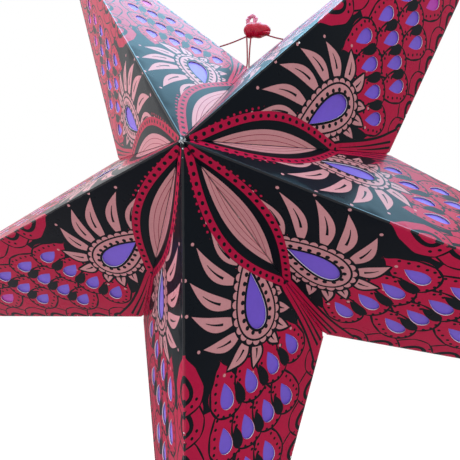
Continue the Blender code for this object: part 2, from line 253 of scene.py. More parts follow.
def ribbon(line, half_width):
    """A closed outline on both sides of a line."""
    line = np.asarray(line)
    way = unit(np.gradient(line, axis=0))
    side = np.stack((-way[:, 1], way[:, 0]), 1) * np.reshape(half_width, (-1, 1))
    return np.concatenate((line + side, (line - side)[::-1]))


def leaf(start, end, width, bow=0.0, count=12):
    """A pointed leaf between two points, bowed to its left."""
    start, end = np.asarray(start, float), np.asarray(end, float)
    t = np.linspace(0, 1, count + 1)[1:-1]
    way = end - start
    length = np.linalg.norm(way)
    way /= length
    side = np.array((-way[1], way[0]))
    spine = start + np.outer(t, way) * length + np.outer(np.sin(math.pi * t) * bow, side)
    half = width / 2 * np.sin(math.pi * t**0.8)
    left = spine + side * half[:, None]
    right = spine - side * half[:, None]
    return np.concatenate(([start], right, [end], left[::-1])), spine


def arc(radius, first, last, pitch=2.0):
    count = max(3, int(radius * abs(last - first) / pitch))
    return np.array([ray_point(radius, turn) for turn in np.linspace(first, last, count)])


def beads(line, pitch, radius, lead=0.0, count=8):
    places = np.arange(lead + pitch / 2, lengths_along(line)[-1], pitch)
    return [disc(point, radius, count) for point in along_line(line, places)[0]]


# Windows, at the places that they have in the card

RING_RADII = range(115, 255, 20)
DROP_PITCH, DROP_LENGTH, DROP_WIDTH = 16.0, 13, 7.4
DROP_RIDGE_MARGIN, DROP_EDGE_MARGIN, DROP_VALLEY_MARGIN = 15.0, 13.5, 11.0
PAISLEY_LENGTH, PAISLEY_WIDTH, PAISLEY_HOOK = 27, 11.5, 6
PAISLEY_RADIUS, PAISLEY_TURN = 82.0, VALLEY_TURN * 0.64
OVAL_LENGTH, OVAL_WIDTH = 7.5, 4.2
OVAL_RADII, OVAL_RIDGE_MARGIN = (249.0, 264.0), 12.5
EYELET_ALONG, EYELET_INSET, EYELET_RADIUS = 36, 6.5, 1.0


def ring_turns(radius):
    """Where the drops sit on one ring: evenly between the margins along the panel's edges."""
    first = math.asin(DROP_RIDGE_MARGIN / radius)
    reach = (EDGE_DISTANCE - DROP_EDGE_MARGIN) / radius
    last = math.pi / 2 - TIP_TURN - math.acos(min(1.0, reach))
    last = min(last, VALLEY_TURN - math.asin(DROP_VALLEY_MARGIN / radius))
    if last < first:
        return []
    count = 1 + math.floor((last - first) * radius / DROP_PITCH)
    return [first + (last - first) * (i + 0.5) / count for i in range(count)]


RINGS = [radius for radius in RING_RADII if ring_turns(radius)]
OVALS = [(radius, math.asin(OVAL_RIDGE_MARGIN / radius)) for radius in OVAL_RADII]


def paisley_window():
    return on_ray(drop(PAISLEY_LENGTH, PAISLEY_WIDTH, 44, PAISLEY_HOOK), PAISLEY_RADIUS, PAISLEY_TURN)


def window_outlines():
    windows = [paisley_window()]
    for radius in RINGS:
        windows += [on_ray(drop(DROP_LENGTH, DROP_WIDTH), radius, turn) for turn in ring_turns(radius)]
    return windows + [on_ray(oval(OVAL_LENGTH, OVAL_WIDTH, 18), *place) for place in OVALS]


def eyelet_outline():
    return disc(VALLEY_CORNER + EDGE_WAY * EYELET_ALONG + EDGE_IN * EYELET_INSET, EYELET_RADIUS, 16)


# The print. Each motif is (ink, outline), and a later one lies over an earlier one.


def inked(ink, outlines):
    return [(ink, outline) for outline in outlines]


def valley_point(along, inward):
    """A point by its distance along the valley fold and in from it."""
    way = ray_point(1, VALLEY_TURN)
    return way * along + np.array((way[1], -way[0])) * inward


def bow_line(first, last, depth, power=1.0, count=44):
    """A bow along the valley fold between two distances, as deep as given at its middle."""
    u = np.linspace(0, 1, count)
    return np.array(
        [valley_point(first + (last - first) * x, depth * math.sin(math.pi * x) ** power) for x in u]
    )


def past_valley(line, far, near, past):
    """The line closed into an outline beyond the valley fold, where the card's edge cuts it."""
    return np.concatenate((line, [valley_point(far, -past), valley_point(near, -past)]))


def petal_motifs():
    """Half a petal along the valley fold, in a beaded band with a lacy rim, and its stem."""
    flare = ((80, 0.4), (88, 3.4), (98, 4.6), (110, 6.0), (122, 8.6), (136, 14))
    stem = past_valley(smooth_line([valley_point(*place) for place in flare]), 137, 79, 5)
    motifs = [("night", grown(stem, 1.5)), ("crimson", stem)]
    for first, last, start, end in ((90, 131, 1.5, 7.0), (104, 131, 1.2, 3.8)):
        middle = valley_point((first + last) / 2, (start + end) * 0.42)
        line = smooth_line([valley_point(first, start), middle, valley_point(last, end)])
        motifs.append(("night", ribbon(line, np.linspace(0.12, 0.75, len(line)))))
    band = bow_line(4, 89, 13.6)
    motifs.append(("night", past_valley(bow_line(5, 90, 15.8), 86, 8, 5)))
    motifs.append(("crimson", ribbon(band, 2.0)))
    motifs += inked("night", beads(band, 4.3, 0.98, 0.4, 9))
    motifs.append(("rose", past_valley(bow_line(14, 75, 7.3, 0.9), 72, 17, 4)))
    veins = [bow_line(first, last, depth, 0.9) for depth, first, last in ((4.9, 19, 69), (2.4, 25, 63))]
    return motifs + inked("wine", [ribbon(vein, 0.14) for vein in veins])


# Leaves round the paisley: (point of its outline, length, width, how far the leaf sweeps back)
LEAVES = (
    (34, 13, 6.0, -0.1),
    (37, 17, 6.6, 0.15),
    (40, 21, 6.8, 0.35),
    (43, 25, 6.8, 0.55),
    (46, 28, 6.6, 0.8),
    (50, 29, 6.2, 1.1),
    (54, 26, 5.4, 1.6),
    (28, 9, 4.8, -0.5),
    (24, 11, 5.2, -0.7),
    (20, 11, 5.0, -0.8),
    (16, 10, 4.6, -0.8),
)


def closed(outline):
    return np.concatenate((outline, outline[:1]))


def paisley_motifs():
    """A paisley round the large window, with a scalloped rim, and leaves all round it."""
    way = ray_point(1, PAISLEY_TURN)
    body = on_ray(drop(40, 21.5, 60, 8), PAISLEY_RADIUS - 2.4, PAISLEY_TURN)
    outward = normals_of(body) * (1 if area_of(body) > 0 else -1)
    blades = []
    for place, length, width, sweep in LEAVES:
        aim = outward[place] - way * sweep
        aim /= np.linalg.norm(aim)
        start = body[place] + outward[place] * 0.5
        bow = (0.12 if place > 30 else -0.1) * length
        blade, spine = leaf(start, start + aim * length, width, bow, 16)
        blades.append((blade, spine, start + aim * (length + 2.4)))
    motifs = inked("night", [grown(blade, 1.2) for blade, _, _ in blades])
    for blade, spine, dot in blades:
        motifs.append(("rose", blade))
        motifs.append(("night", ribbon(spine[4:-4], np.linspace(0.62, 0.15, len(spine) - 8))))
        motifs.append(("rose", disc(dot, 0.8, 9)))
    motifs.append(("night", grown(body, 4.0)))
    motifs += inked("rose", beads(closed(grown(body, 1.2)), 4.15, 1.95, 0, 12))
    motifs.append(("night", grown(body, 1.15)))
    motifs.append(("rose", grown(body, 0.15)))
    motifs += inked("night", beads(closed(grown(body, -2.6))[5:-5], 4.3, 1.12, 0, 10))
    return [*motifs, ("night", grown(paisley_window(), 1.25))]


def ground_motifs():
    """The crimson ground of the outer panel, with a lobe round each of the first drops, and lace."""
    edge = np.concatenate((arc(118, -0.05, 0.9), arc(345, -0.05, 0.9, 20)[::-1]))
    turns = [0.0, *ring_turns(RINGS[0]), VALLEY_TURN]
    lobes = [disc(ray_point(114.5, turn), 9.6, 30) for turn in turns]
    return inked("crimson", [edge, *lobes, *beads(bow_line(2, 93, 17.4), 3.3, 0.62, 0.6, 10)])


def scale_at(radius, turn, length=29.0, width=19.0):
    """One crimson scale on a drop's ray, dotted round its end and down its flanks."""
    shape = on_ray(drop(length, width, 54), radius + 3.4 - length / 4, turn)
    swing = [0.52 * k for k in range(-4, 5)]
    spots = [(3.2 + 6.2 * math.cos(bearing), (width / 2 - 2.6) * math.sin(bearing)) for bearing in swing]
    for along, aside in ((-3.8, 5.4), (-7.6, 4.2), (-11.2, 2.7)):
        spots += [(along, -aside), (along, aside)]
    dots = [on_ray(disc(np.array(spot), 0.78, 8), radius, turn) for spot in spots]
    return [("night", shape), ("crimson", wavy(shape, 0.75, 0.5, 11)), *inked("night", dots)]


def eye_at(outline, length, width, turn, place):
    """A dark drop with a crimson core, on a scale that the fold cuts in half."""
    eye = turned(drop(length, width, 26), turn) + place
    scale = [("night", outline), ("crimson", wavy(outline, 0.5, 0.5, 9))]
    return [*scale, ("night", eye), ("crimson", grown(eye, -2.1))]


def scale_motifs():
    """Rows of scales from the tip inward, with eyed ones on the ridge and the side edge."""
    motifs = []
    edge_turn = math.atan2(EDGE_WAY[1], EDGE_WAY[0])
    for i in range(9, -1, -1):
        place = VALLEY_CORNER + EDGE_WAY * (10 + 15.2 * i)
        shape = turned(drop(25, 20, 46), edge_turn) + place
        motifs += eye_at(shape, 13, 9.0, edge_turn, place + EDGE_WAY * 3.0)
        spots = [place + EDGE_WAY * 10.4 + turned((0, -aside), edge_turn) for aside in (0.5, 3.4)]
        motifs += inked("night", [disc(spot, 0.6, 8) for spot in spots])
    for radius in (*reversed(RINGS), RINGS[0] - 14):
        place = ray_point(radius + 1, 0)
        motifs += eye_at(drop(28, 21, 46) + place, 14, 9.6, 0, place + (2.0, 0))
        spots = ((11.3, 0.6), (10.0, 3.9), (7.4, 6.3))
        motifs += inked("night", [disc(place + spot, 0.8, 8) for spot in spots])
        turns = ring_turns(radius) if radius in RINGS else []
        for turn in turns:
            motifs += scale_at(radius, turn)
        for before, after in zip(turns, turns[1:]):
            middle = (before + after) / 2
            motifs.append(("night", on_ray(drop(11.5, 5.8, 24), radius + 1.6, middle)))
            dots = [ray_point(radius + reach, middle) for reach in (-6.0, -8.6)]
            motifs += inked("night", [disc(dot, 0.75, 8) for dot in dots])
    return motifs


def dashes(line, pitch, length, half_width):
    """Short stitches along a line."""
    found = []
    for place in np.arange(pitch / 2, lengths_along(line)[-1] - length, pitch):
        found.append(ribbon(along_line(line, np.linspace(place, place + length, 3))[0], half_width))
    return found


def tip_motifs():
    """Stitched and beaded bands across the tip, round the two small windows."""
    last = math.radians(11)

    def across(radius):
        return arc(radius, -0.05, last, 1.5)

    motifs = [("night", ribbon(across(238), 6.4))]
    for radius in (234.4, 241.6):
        motifs += inked("rose", dashes(across(radius), 3.7, 2.3, 0.5))
    motifs += inked("crimson", beads(across(238), 4.4, 1.35, 0.4, 12))
    motifs.append(("crimson", ribbon(across(257), 12.4)))
    for place in OVALS:
        motifs.append(("night", on_ray(wavy(oval(14.6, 11.0, 60), 0.0, 0.7, 12), *place)))
        motifs.append(("crimson", on_ray(oval(11.4, 8.0, 24), *place)))
    motifs += inked("night", beads(across(256.5), 4.6, 1.0, 0, 9))
    motifs += inked("night", beads(across(247.2), 3.1, 0.55, 0.8, 8))
    motifs.append(("night", ribbon(across(272.6), 3.4)))
    motifs += inked("rose", beads(across(272.6), 3.3, 1.05, 0, 12))
    for peak in [282 + 6.4 * i for i in range(5)]:
        motifs.append(("night", np.array([(peak, -1.5), (peak + 2.6, -1.5), (peak - 5.4, 9), (peak - 8, 9)])))
        motifs.append(("night", disc((peak - 2.2, 0.0), 0.6, 8)))
    return motifs


def print_motifs():
    return [*ground_motifs(), *scale_motifs(), *paisley_motifs(), *petal_motifs(), *tip_motifs()]


# Card panels

CORE = "core"
INKS = ("night", "crimson", "rose", "wine")
GRID_PITCH = 9.0
PAISLEY_RIM_INK, WINDOW_RIM_INK, OUTER_RIM_INK = "night", "crimson", "night"
FILM_MARGIN = 0.12  # how far the film stops short of a window's wall
WINDOW_ROLL, OUTER_ROLL = 0.06, 0.14  # how deep the film rolls over at a window and at the outer edge
SEAM_CUT, VALLEY_CUT = 11.6, 1.1  # cut off a panel's valley corner, at the open seam and elsewhere

# The loops that bound a panel: (how far in from the ridge, side edge and valley, how much is cut off the
# centre and tip corners, and how much more than elsewhere off the valley corner)
WALL_LOOP = ((0.10, 0.10, 0.04), (1.0, 1.4), 0)
TOP_LOOP = ((0.42, 0.42, 0.22), (1.4, 1.9), 0.2)
UNDER_LOOP = ((0.95, 0.55, 0.06), (2.8, 3.4), 0)

# The belly of a panel: it starts at the folds, reaches its full height over this distance, and wavers
BELLY_REACH, BELLY_HEIGHT, BELLY_WAVER = 16.0, 0.26, 0.34


def inset_corners(insets, cuts):
    """The panel's triangle with its edges moved in and its corners cut off, as six points."""

    def crossing(first, second):
        (p, u), (q, v) = first, second
        cross = u[0] * v[1] - u[1] * v[0]
        return p + u * (((q - p)[0] * v[1] - (q - p)[1] * v[0]) / cross)

    edges, ends = [], []
    for i in range(3):
        way = PANEL[(i + 1) % 3] - PANEL[i]
        way = way / np.linalg.norm(way)
        edges.append((PANEL[i] + np.array((-way[1], way[0])) * insets[i], way))
        before = PANEL[i - 1] - PANEL[i]
        after = PANEL[(i + 1) % 3] - PANEL[i]
        bisector = before / np.linalg.norm(before) + after / np.linalg.norm(after)
        bisector /= np.linalg.norm(bisector)
        ends.append((PANEL[i] + bisector * cuts[i], np.array((bisector[1], -bisector[0]))))
    outline = []
    for i in range(3):
        outline.append(crossing(ends[i], edges[i]))
        outline.append(crossing(edges[i], ends[(i + 1) % 3]))
    return np.array(outline)


def refined(outline, counts):
    """The same outline with each side in a number of equal steps."""
    points = []
    for start, end, count in zip(outline, np.roll(outline, -1, 0), counts):
        points += [start + (end - start) * i / count for i in range(count)]
    return np.array(points)


def inside(points, outline):
    """Which points lie inside an outline. The small reversed loops that an inset leaves don't count."""
    if area_of(outline) < 0:
        outline = outline[::-1]
    found = np.zeros(len(points), bool)
    low, high = outline.min(0), outline.max(0)
    near = np.nonzero(((points > low) & (points < high)).all(1))[0]
    x, y = points[near, 0, None], points[near, 1, None]
    start, end = outline, np.roll(outline, -1, 0)
    left = (end[:, 0] - start[:, 0]) * (y - start[:, 1]) - (x - start[:, 0]) * (end[:, 1] - start[:, 1])
    up = (start[:, 1] <= y) & (end[:, 1] > y) & (left > 0)
    down = (start[:, 1] > y) & (end[:, 1] <= y) & (left < 0)
    found[near] = up.sum(1) - down.sum(1) > 0
    return found


def inks_at(points, motifs):
    """The ink of the last motif that each point lies in."""
    inks = np.zeros(len(points), int)
    for ink, outline in motifs:
        inks[inside(points, outline)] = INKS.index(ink)
    return [INKS[i] for i in inks]


def triangulate(border, holes, motifs, pitch):
    """Points, triangles and the ink of each, over the border without its holes."""
    low, high = border.min(0), border.max(0)
    points = [
        Vector((x + (pitch / 2 if row % 2 else 0), y))
        for row, y in enumerate(np.arange(low[1] + pitch / 2, high[1], pitch * 0.87))
        for x in np.arange(low[0] + pitch / 2, high[0], pitch)
    ]
    edges = []
    for loop in [border, *holes, *[outline for _, outline in motifs]]:
        first, count = len(points), len(loop)
        edges += [(first + i, first + (i + 1) % count) for i in range(count)]
        points += [Vector(p) for p in loop]
    made = delaunay_2d_cdt(points, edges, [], 0, 1e-5)
    spots, triangles = np.array([tuple(p) for p in made[0]]), np.array(made[2])
    middles = spots[triangles].mean(1)
    kept = inside(middles, border)
    for hole in holes:
        kept &= ~inside(middles, hole)
    triangles, middles = triangles[kept], middles[kept]
    used, numbered = np.unique(triangles, return_inverse=True)
    return spots[used], numbered.reshape(-1, 3).tolist(), inks_at(middles, motifs)


def on_loop(spots, loop):
    """For each edge of a loop, the spots on it in order, as (index, share of the edge)."""
    found = []
    for start, end in zip(loop, np.roll(loop, -1, 0)):
        way = end - start
        length = np.linalg.norm(way)
        off = spots - start
        share = off @ way / length**2
        away = np.abs(off[:, 0] * way[1] - off[:, 1] * way[0]) / length
        near = np.nonzero((away < 2e-4) & (share > -1e-4) & (share < 1 - 1e-4 / length))[0]
        found.append(sorted(((int(i), float(share[i])) for i in near), key=lambda pair: pair[1]))
    return found


def show(name, mesh):
    piece = bpy.data.objects.new(name, mesh)
    bpy.context.collection.objects.link(piece)
    return piece


class Sheet:
    """One flat card outline: its printed top, its underside and the cut walls between them."""

    def __init__(self, at_seam):
        counts = (46, 1, 35, 4 if at_seam else 1, 20, 1)

        def loop(insets, cuts, more):
            valley_cut = (SEAM_CUT if at_seam else VALLEY_CUT) + more
            return refined(inset_corners(insets, (*cuts, valley_cut)), counts)

        self.wall, self.border, self.inner = (loop(*form) for form in (WALL_LOOP, TOP_LOOP, UNDER_LOOP))
        self.windows = window_outlines() + ([eyelet_outline()] if at_seam else [])
        self.rims = [grown(window, FILM_MARGIN) for window in self.windows]
        self.top = triangulate(self.border, self.rims, print_motifs(), GRID_PITCH)
        self.under = triangulate(self.inner, self.windows, [], GRID_PITCH)


def bowed(x, y, seed):
    """How far the card stands out at a place, in millimetres: a slight belly, never the same twice."""
    from_folds = (
        y,
        (TIP_CORNER[0] - x) * math.sin(TIP_TURN) - y * math.cos(TIP_TURN),
        x * math.sin(VALLEY_TURN) - y * math.cos(VALLEY_TURN),
    )
    share = 1.0
    for distance in from_folds:
        share *= min(1.0, max(0.0, distance) / BELLY_REACH) ** 0.8
    wave = noise.noise(Vector((x / 60 + 7.3 * seed, y / 45, 2.1 * seed)))
    return share * (BELLY_HEIGHT + BELLY_WAVER * wave)


def mesh_from(build, name, sharp, materials):
    """The built faces as a mesh with its materials, its edges sharp beyond an angle in degrees."""
    mesh = bpy.data.meshes.new(name)
    build.to_mesh(mesh)
    build.free()
    mesh.set_sharp_from_angle(angle=math.radians(sharp))
    for material in materials.values():
        mesh.materials.append(material)
    return mesh


def card_mesh(name, sheet, matrix, hand, seed, materials):
    """The sheet as a closed mesh, printed on top, with white core on its cut edges."""
    build = bmesh.new()
    slots = {ink: i for i, ink in enumerate(materials)}

    def vertex(x, y, depth):
        return build.verts.new((x * MM, hand * y * MM, (bowed(x, y, seed) - depth) * MM))

    def face(loop, ink):
        made = build.faces.new(loop if hand > 0 else loop[::-1])
        made.material_index = slots[ink]
        return made

    spots, triangles, inks = sheet.top
    top = [vertex(x, y, 0) for x, y in spots]
    for triangle, ink in zip(triangles, inks):
        face([top[i] for i in triangle], ink)
    low_spots, low_triangles, _ = sheet.under
    low = [vertex(x, y, CARD) for x, y in low_spots]
    for triangle in low_triangles:
        face([low[i] for i in triangle[::-1]], CORE)

    def skirt(upper, middle, lower, middle_depth, outward, edge_ink):
        """Faces from a loop on the top, over a worn corner, down to a loop on the underside."""
        chain = []
        for i, found in enumerate(on_loop(spots, upper)):
            j = (i + 1) % len(upper)
            for index, share in found:
                if chain and top[index] in (chain[-1][0], chain[0][0]):
                    continue
                mid = middle[i] * (1 - share) + middle[j] * share
                end = lower[i] * (1 - share) + lower[j] * share
                chain.append((top[index], vertex(*mid, middle_depth), vertex(*end, CARD)))
        for one, two in zip(chain, chain[1:] + chain[:1]):
            rolled = [one[0], one[1], two[1], two[0]]
            wall = [one[1], one[2], two[2], two[1]]
            face(rolled if outward else rolled[::-1], edge_ink)
            face(wall if outward else wall[::-1], CORE)

    for place, (rim, window) in enumerate(zip(sheet.rims, sheet.windows)):
        ink = PAISLEY_RIM_INK if place == 0 else WINDOW_RIM_INK
        skirt(rim, window, window, WINDOW_ROLL, area_of(rim) < 0, ink)
    skirt(sheet.border, sheet.wall, sheet.inner, OUTER_ROLL, area_of(sheet.border) > 0, OUTER_RIM_INK)
    bmesh.ops.remove_doubles(build, verts=build.verts, dist=2e-7)
    place_map = build.loops.layers.uv.new("panel")
    for made in build.faces:
        made.smooth = True
        for loop in made.loops:
            loop[place_map].uv = (loop.vert.co.x * MAP_SCALE, hand * loop.vert.co.y * MAP_SCALE)
    mesh = mesh_from(build, name, 24, materials)
    mesh.transform(matrix)
    return mesh


def add_cards(materials):
    """The twenty card panels. Each rides on its own body and stands for its own solid."""
    sheets = {at_seam: Sheet(at_seam) for at_seam in (False, True)}
    for seed, panel in enumerate(all_panels(), 1):
        sheet = sheets[panel.body in SEAM_PANELS]
        mesh = card_mesh(panel.body + "_card", sheet, panel.matrix, panel.hand, seed, materials)
        card = show(panel.body + "_card", mesh)
        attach(card, panel.body)
        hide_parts(panel.body + "_panel")


# Folds. The film stretches over each outward fold as a rounded strip, printed like the card beside it.

STRIP_STEP = 1.7
STRIP_WIDTH, STRIP_THICKNESS = 0.95, 0.08
STRIP_CROWN, STRIP_SHOULDER, STRIP_MARGIN = 0.12, 0.05, 0.03  # heights over the card, from the fold out
SHOULDER_SHARE = 0.53  # how far across the strip its shoulder lies
TIP_GAP, CENTRE_GAP, CORNER_GAP, SEAM_GAP = 2.2, 1.6, 1.2, 22.6  # left bare at the ends of the folds
TIP_TAPER, CENTRE_TAPER, TAPER_LEAD = 0.19, 0.3, 1.2
WIDTH_WAVER, JOG = 0.16, 0.035
JOG_SEED = 1
INK_INSET = 0.45  # how far in from the fold the strip's ink is looked up


class FoldStrip:
    """A strip along one fold of a panel: its places on the fold, with a width and an ink at each."""

    def __init__(self, start, end, into, gap, motifs, from_centre=False):
        length = np.linalg.norm(end - start)
        last = length - TIP_GAP
        self.start, self.into, self.way = start, into, (end - start) / length
        self.middle = start + (end - start) / 2
        self.places = np.linspace(gap, last, int((last - gap) / STRIP_STEP))
        self.widths = np.minimum(STRIP_WIDTH, TIP_TAPER * (last + TAPER_LEAD - self.places))
        if from_centre:
            self.widths = np.minimum(self.widths, CENTRE_TAPER * self.places)
        middles = (self.places[1:] + self.places[:-1]) / 2
        self.inks = inks_at(start + np.outer(middles, self.way) + into * INK_INSET, motifs)


def fold_section(first, second, fold, into, width):
    """The strip's section at one place on the fold, from the first panel's side to the second's."""
    bisector = first.outward + second.outward
    bisector /= np.linalg.norm(bisector)
    shoulder = fold + into * (SHOULDER_SHARE * width)
    ends = [panel.point(shoulder, STRIP_SHOULDER) for panel in (first, second)]
    margins = [panel.point(fold + into * width, STRIP_MARGIN) for panel in (first, second)]
    crown = first.point(fold) + bisector * STRIP_CROWN
    over = [ends[0] * (1 - t) ** 2 + crown * 2 * t * (1 - t) + ends[1] * t * t for t in (0.25, 0.5, 0.75)]
    top = [margins[0], ends[0], *over, ends[1], margins[1]]
    sides = [first.outward] * 2 + [bisector] * 3 + [second.outward] * 2
    return top, [point - way * STRIP_THICKNESS for point, way in zip(top, sides)]


def add_fold_strip(name, first, second, strip, seed, bends, materials):
    """One strip. It rides on the first panel where no joint joins its two panels, and otherwise stays in
    place in the row frame.
    """
    build = bmesh.new()
    rings, spots = [], []
    for place, width in zip(strip.places, strip.widths):
        fold = strip.start + strip.way * place
        width *= 1 + WIDTH_WAVER * noise.noise(Vector((place * 0.5, seed, 0)))
        top, under = fold_section(first, second, fold, strip.into, width)
        jog = noise.noise_vector(Vector((place * 0.35, 1.7 * seed, 3.1))) * JOG
        rings.append([build.verts.new((Vector(point) + jog) * MM) for point in [*top, *under[::-1]]])
        spots.append(fold)
    place_map = build.loops.layers.uv.new("panel")
    slots = {ink: i for i, ink in enumerate(materials)}
    count = len(rings[0])
    printed = count // 2 - 1  # the faces on the strip's upper side

    def face(loop, places_on_panel, ink):
        made = build.faces.new(loop)
        made.smooth = True
        made.material_index = slots[ink]
        for corner, spot in zip(made.loops, places_on_panel):
            corner[place_map].uv = (spot[0] * MM * MAP_SCALE, spot[1] * MM * MAP_SCALE)

    for i in range(len(rings) - 1):
        for k in range(count):
            j = (k + 1) % count
            quad = (rings[i][k], rings[i][j], rings[i + 1][j], rings[i + 1][k])
            ink = strip.inks[i] if k < printed else CORE
            face(quad, (spots[i], spots[i], spots[i + 1], spots[i + 1]), ink)
    face(rings[0][::-1], [spots[0]] * count, CORE)
    face(rings[-1], [spots[-1]] * count, CORE)
    bmesh.ops.recalc_face_normals(build, faces=build.faces)
    piece = show(name, mesh_from(build, name, 50, materials))
    if not bends:
        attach(piece, first.body)
        return
    fold, beside = first.point(strip.middle), strip.middle + strip.into
    across = (first.point(beside) - second.point(beside)) * 0.25
    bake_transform(piece)


def add_fold_strips(materials):
    """A strip on each ridge, front and back, and on each side edge between front and back."""
    noise.seed_set(JOG_SEED)  # noise_vector starts from a random offset, which has to be the same each run
    motifs = print_motifs()
    ridge = FoldStrip(CENTRE_CORNER, TIP_CORNER, RIDGE_IN, CENTRE_GAP, motifs, from_centre=True)
    side_edges = {
        at_seam: FoldStrip(VALLEY_CORNER, TIP_CORNER, EDGE_IN, SEAM_GAP if at_seam else CORNER_GAP, motifs)
        for at_seam in (False, True)
    }
    for index, arm in enumerate(ARMS):
        seed = 10.0 * index
        for face_name in FACES:
            pair = [PanelPlace(index, side_name, face_name) for side_name in SIDES]
            name = f"{arm}_arm_{face_name}_ridge"
            add_fold_strip(name, *pair, ridge, seed + 1, face_name == "front", materials)
        for side_name in SIDES:
            pair = [PanelPlace(index, side_name, face_name) for face_name in FACES]
            name = f"{arm}_arm_{side_name}_side_edge"
            add_fold_strip(name, *pair, side_edges[pair[1].body in SEAM_PANELS], seed + 5, True, materials)


# Crumpled corners at the star's centre

SCUFF_SPOKES = (0, 0.3, 0.55, 0.8)  # shares of the way round from the ridge to the valley
SCUFF_RINGS = ((0.5, 0.1), (0.9, 0.2), (1.3, 0.4), (1.7, 1.0))  # (how far out, how ragged)
SCUFF_RISE, SCUFF_WAVER = 0.055, 0.015
SCUFF_THICKNESS = 0.000004  # in metres


def add_scuff(panel, material):
    """A panel's crumpled centre corner, thinning towards the valley so that the valley can close."""
    apex, tip, valley = panel.corners
    ridge_way, valley_way = (tip - apex).normalized(), (valley - apex).normalized()
    spokes = [ridge_way.lerp(valley_way, share).normalized() for share in SCUFF_SPOKES]
    out_of_card = ridge_way.cross(valley_way).normalized() * panel.hand
    build = bmesh.new()
    crown = build.verts.new(apex)
    rings = []
    for reach, raggedness in SCUFF_RINGS:
        ring = []
        for way in spokes:
            ragged = 1 + raggedness * noise.noise(way * 9 + Vector((reach, 0, 0)))
            from_valley = reach * ragged * way.cross(valley_way).length
            lift = from_valley * (SCUFF_RISE + SCUFF_WAVER * noise.noise(way * 11 + Vector((0, reach, 5))))
            ring.append(build.verts.new(apex + way * reach * ragged * MM + out_of_card * lift * MM))
        rings.append(ring)
    for i in range(len(spokes) - 1):
        build.faces.new((crown, rings[0][i], rings[0][i + 1]))
        for low, high in zip(rings, rings[1:]):
            build.faces.new((low[i], high[i], high[i + 1], low[i + 1]))
    bmesh.ops.recalc_face_normals(build, faces=list(build.faces))
    mesh = bpy.data.meshes.new(panel.body + "_scuff")
    build.to_mesh(mesh)
    build.free()
    mesh.materials.append(material)
    flake = show(panel.body + "_scuff", mesh)
    thick = flake.modifiers.new("Thickness", "SOLIDIFY")
    thick.thickness = SCUFF_THICKNESS
    thick.offset = 0
    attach(flake, panel.body)


# Strings, in millimetres in the row frame until they are shown

KNOT_BODY = SEAM_PANELS[0]  # the knot and what hangs on it stay with the upper right arm
KNOT_LENGTH, KNOT_HEIGHT, KNOT_DEPTH = 19.5, 10.5, 9.0
KNOT_CENTRE = np.array(star_point(4.2, HANG_HEIGHT - 9.8, 0)) / MM
TWINE_RADIUS = 0.52
STOPPER_RADII = np.array((0.35, 0.85, 1.0, 0.85, 0.45)) * 1.6
DROP_FALL, DROP_BACK, DROP_MIDDLE, DROP_SPREAD = 31.0, 3.6, -1.2, 1.5


def knot_surface(x, way):
    """A point just off the knot's mass, above it or below. The mass has a groove between its turns."""
    share = (x - KNOT_CENTRE[0]) / KNOT_LENGTH + 0.5
    envelope = math.sin(math.pi * (0.08 + 0.84 * share)) ** 0.6
    half = envelope * (1 - 0.10 * abs(math.cos(math.pi * 4 * share))) * KNOT_HEIGHT / 2
    return np.array((x, 0.0, KNOT_CENTRE[2] + way * (half + 0.3)))


def swept(line, radius, plies=3, pitch=2.4, groove=0.22, sides=14, step=0.22):
    """A twisted strand along a line, as points and faces. The radius may change along the line."""
    length = lengths_along(line)[-1]
    places = np.linspace(0, length, max(6, int(length / step)))
    middle, way = along_line(line, places)
    radii = np.interp(places / length, np.linspace(0, 1, np.size(radius)), np.atleast_1d(radius))
    side = np.cross(way[0], (0.31, 0.83, 0.46))
    turns = np.arange(sides) * 2 * math.pi / sides
    points, faces = [], []
    for i, direction in enumerate(way):
        side = side - direction * side.dot(direction)
        side /= np.linalg.norm(side)
        other = np.cross(direction, side)
        lobes = np.abs(np.cos(plies / 2 * (turns - 2 * math.pi * places[i] / pitch))) ** 0.8
        reach = radii[i] * (1 - groove + groove * lobes)
        ring = middle[i] + np.outer(reach * np.cos(turns), side)
        points += list(ring + np.outer(reach * np.sin(turns), other))
    count = len(places)
    for i in range(count - 1):
        for k in range(sides):
            j = (k + 1) % sides
            a, b = i * sides, (i + 1) * sides
            faces.append((a + k, a + j, b + j, b + k))
    for ring, sign in ((0, -1), (count - 1, 1)):
        tip = len(points)
        points.append(middle[ring] + way[ring] * sign * radii[ring] * 0.45)
        for k in range(sides):
            j = (k + 1) % sides
            pair = (ring * sides + k, ring * sides + j)
            faces.append((*(pair if sign > 0 else pair[::-1]), tip))
    return points, faces


def add_strand(name, body, material, line, radius, **form):
    points, faces = swept(np.asarray(line, float), radius, **form)
    mesh = bpy.data.meshes.new(name)
    mesh.from_pydata([Vector(p) * MM for p in points], [], faces)
    mesh.shade_smooth()
    mesh.materials.append(material)
    strand = show(name, mesh)
    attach(strand, body)
    return strand


def tie_route(index, side):
    """From the stopper inside the arm, out through the eyelet, to the knot's end."""
    matrix = panel_matrix(arm_angle(index), side, -1)
    x, y = eyelet_outline().mean(0)
    eyelet = np.array(matrix @ Vector((x * MM, -side * y * MM, 0))) / MM
    outward = np.array(matrix.to_3x3() @ Vector((0, 0, 1)))
    stopper, collar, mouth = (eyelet + outward * height for height in (-3.7, -1.1, 1.6))
    knot_end = KNOT_CENTRE + (side * (KNOT_LENGTH / 2 - 5.5), -1.0, -3.9)
    sag = (mouth + knot_end) / 2 - (0, 0, 0.8)
    inner = [stopper + (collar - stopper) * share for share in (0, 0.25, 0.5, 0.75, 1.0)]
    neck = [collar + (mouth - collar) * share for share in (0.3, 0.8)]
    return np.array([*inner, *neck, *smooth_line([mouth, sag, knot_end], 8)])


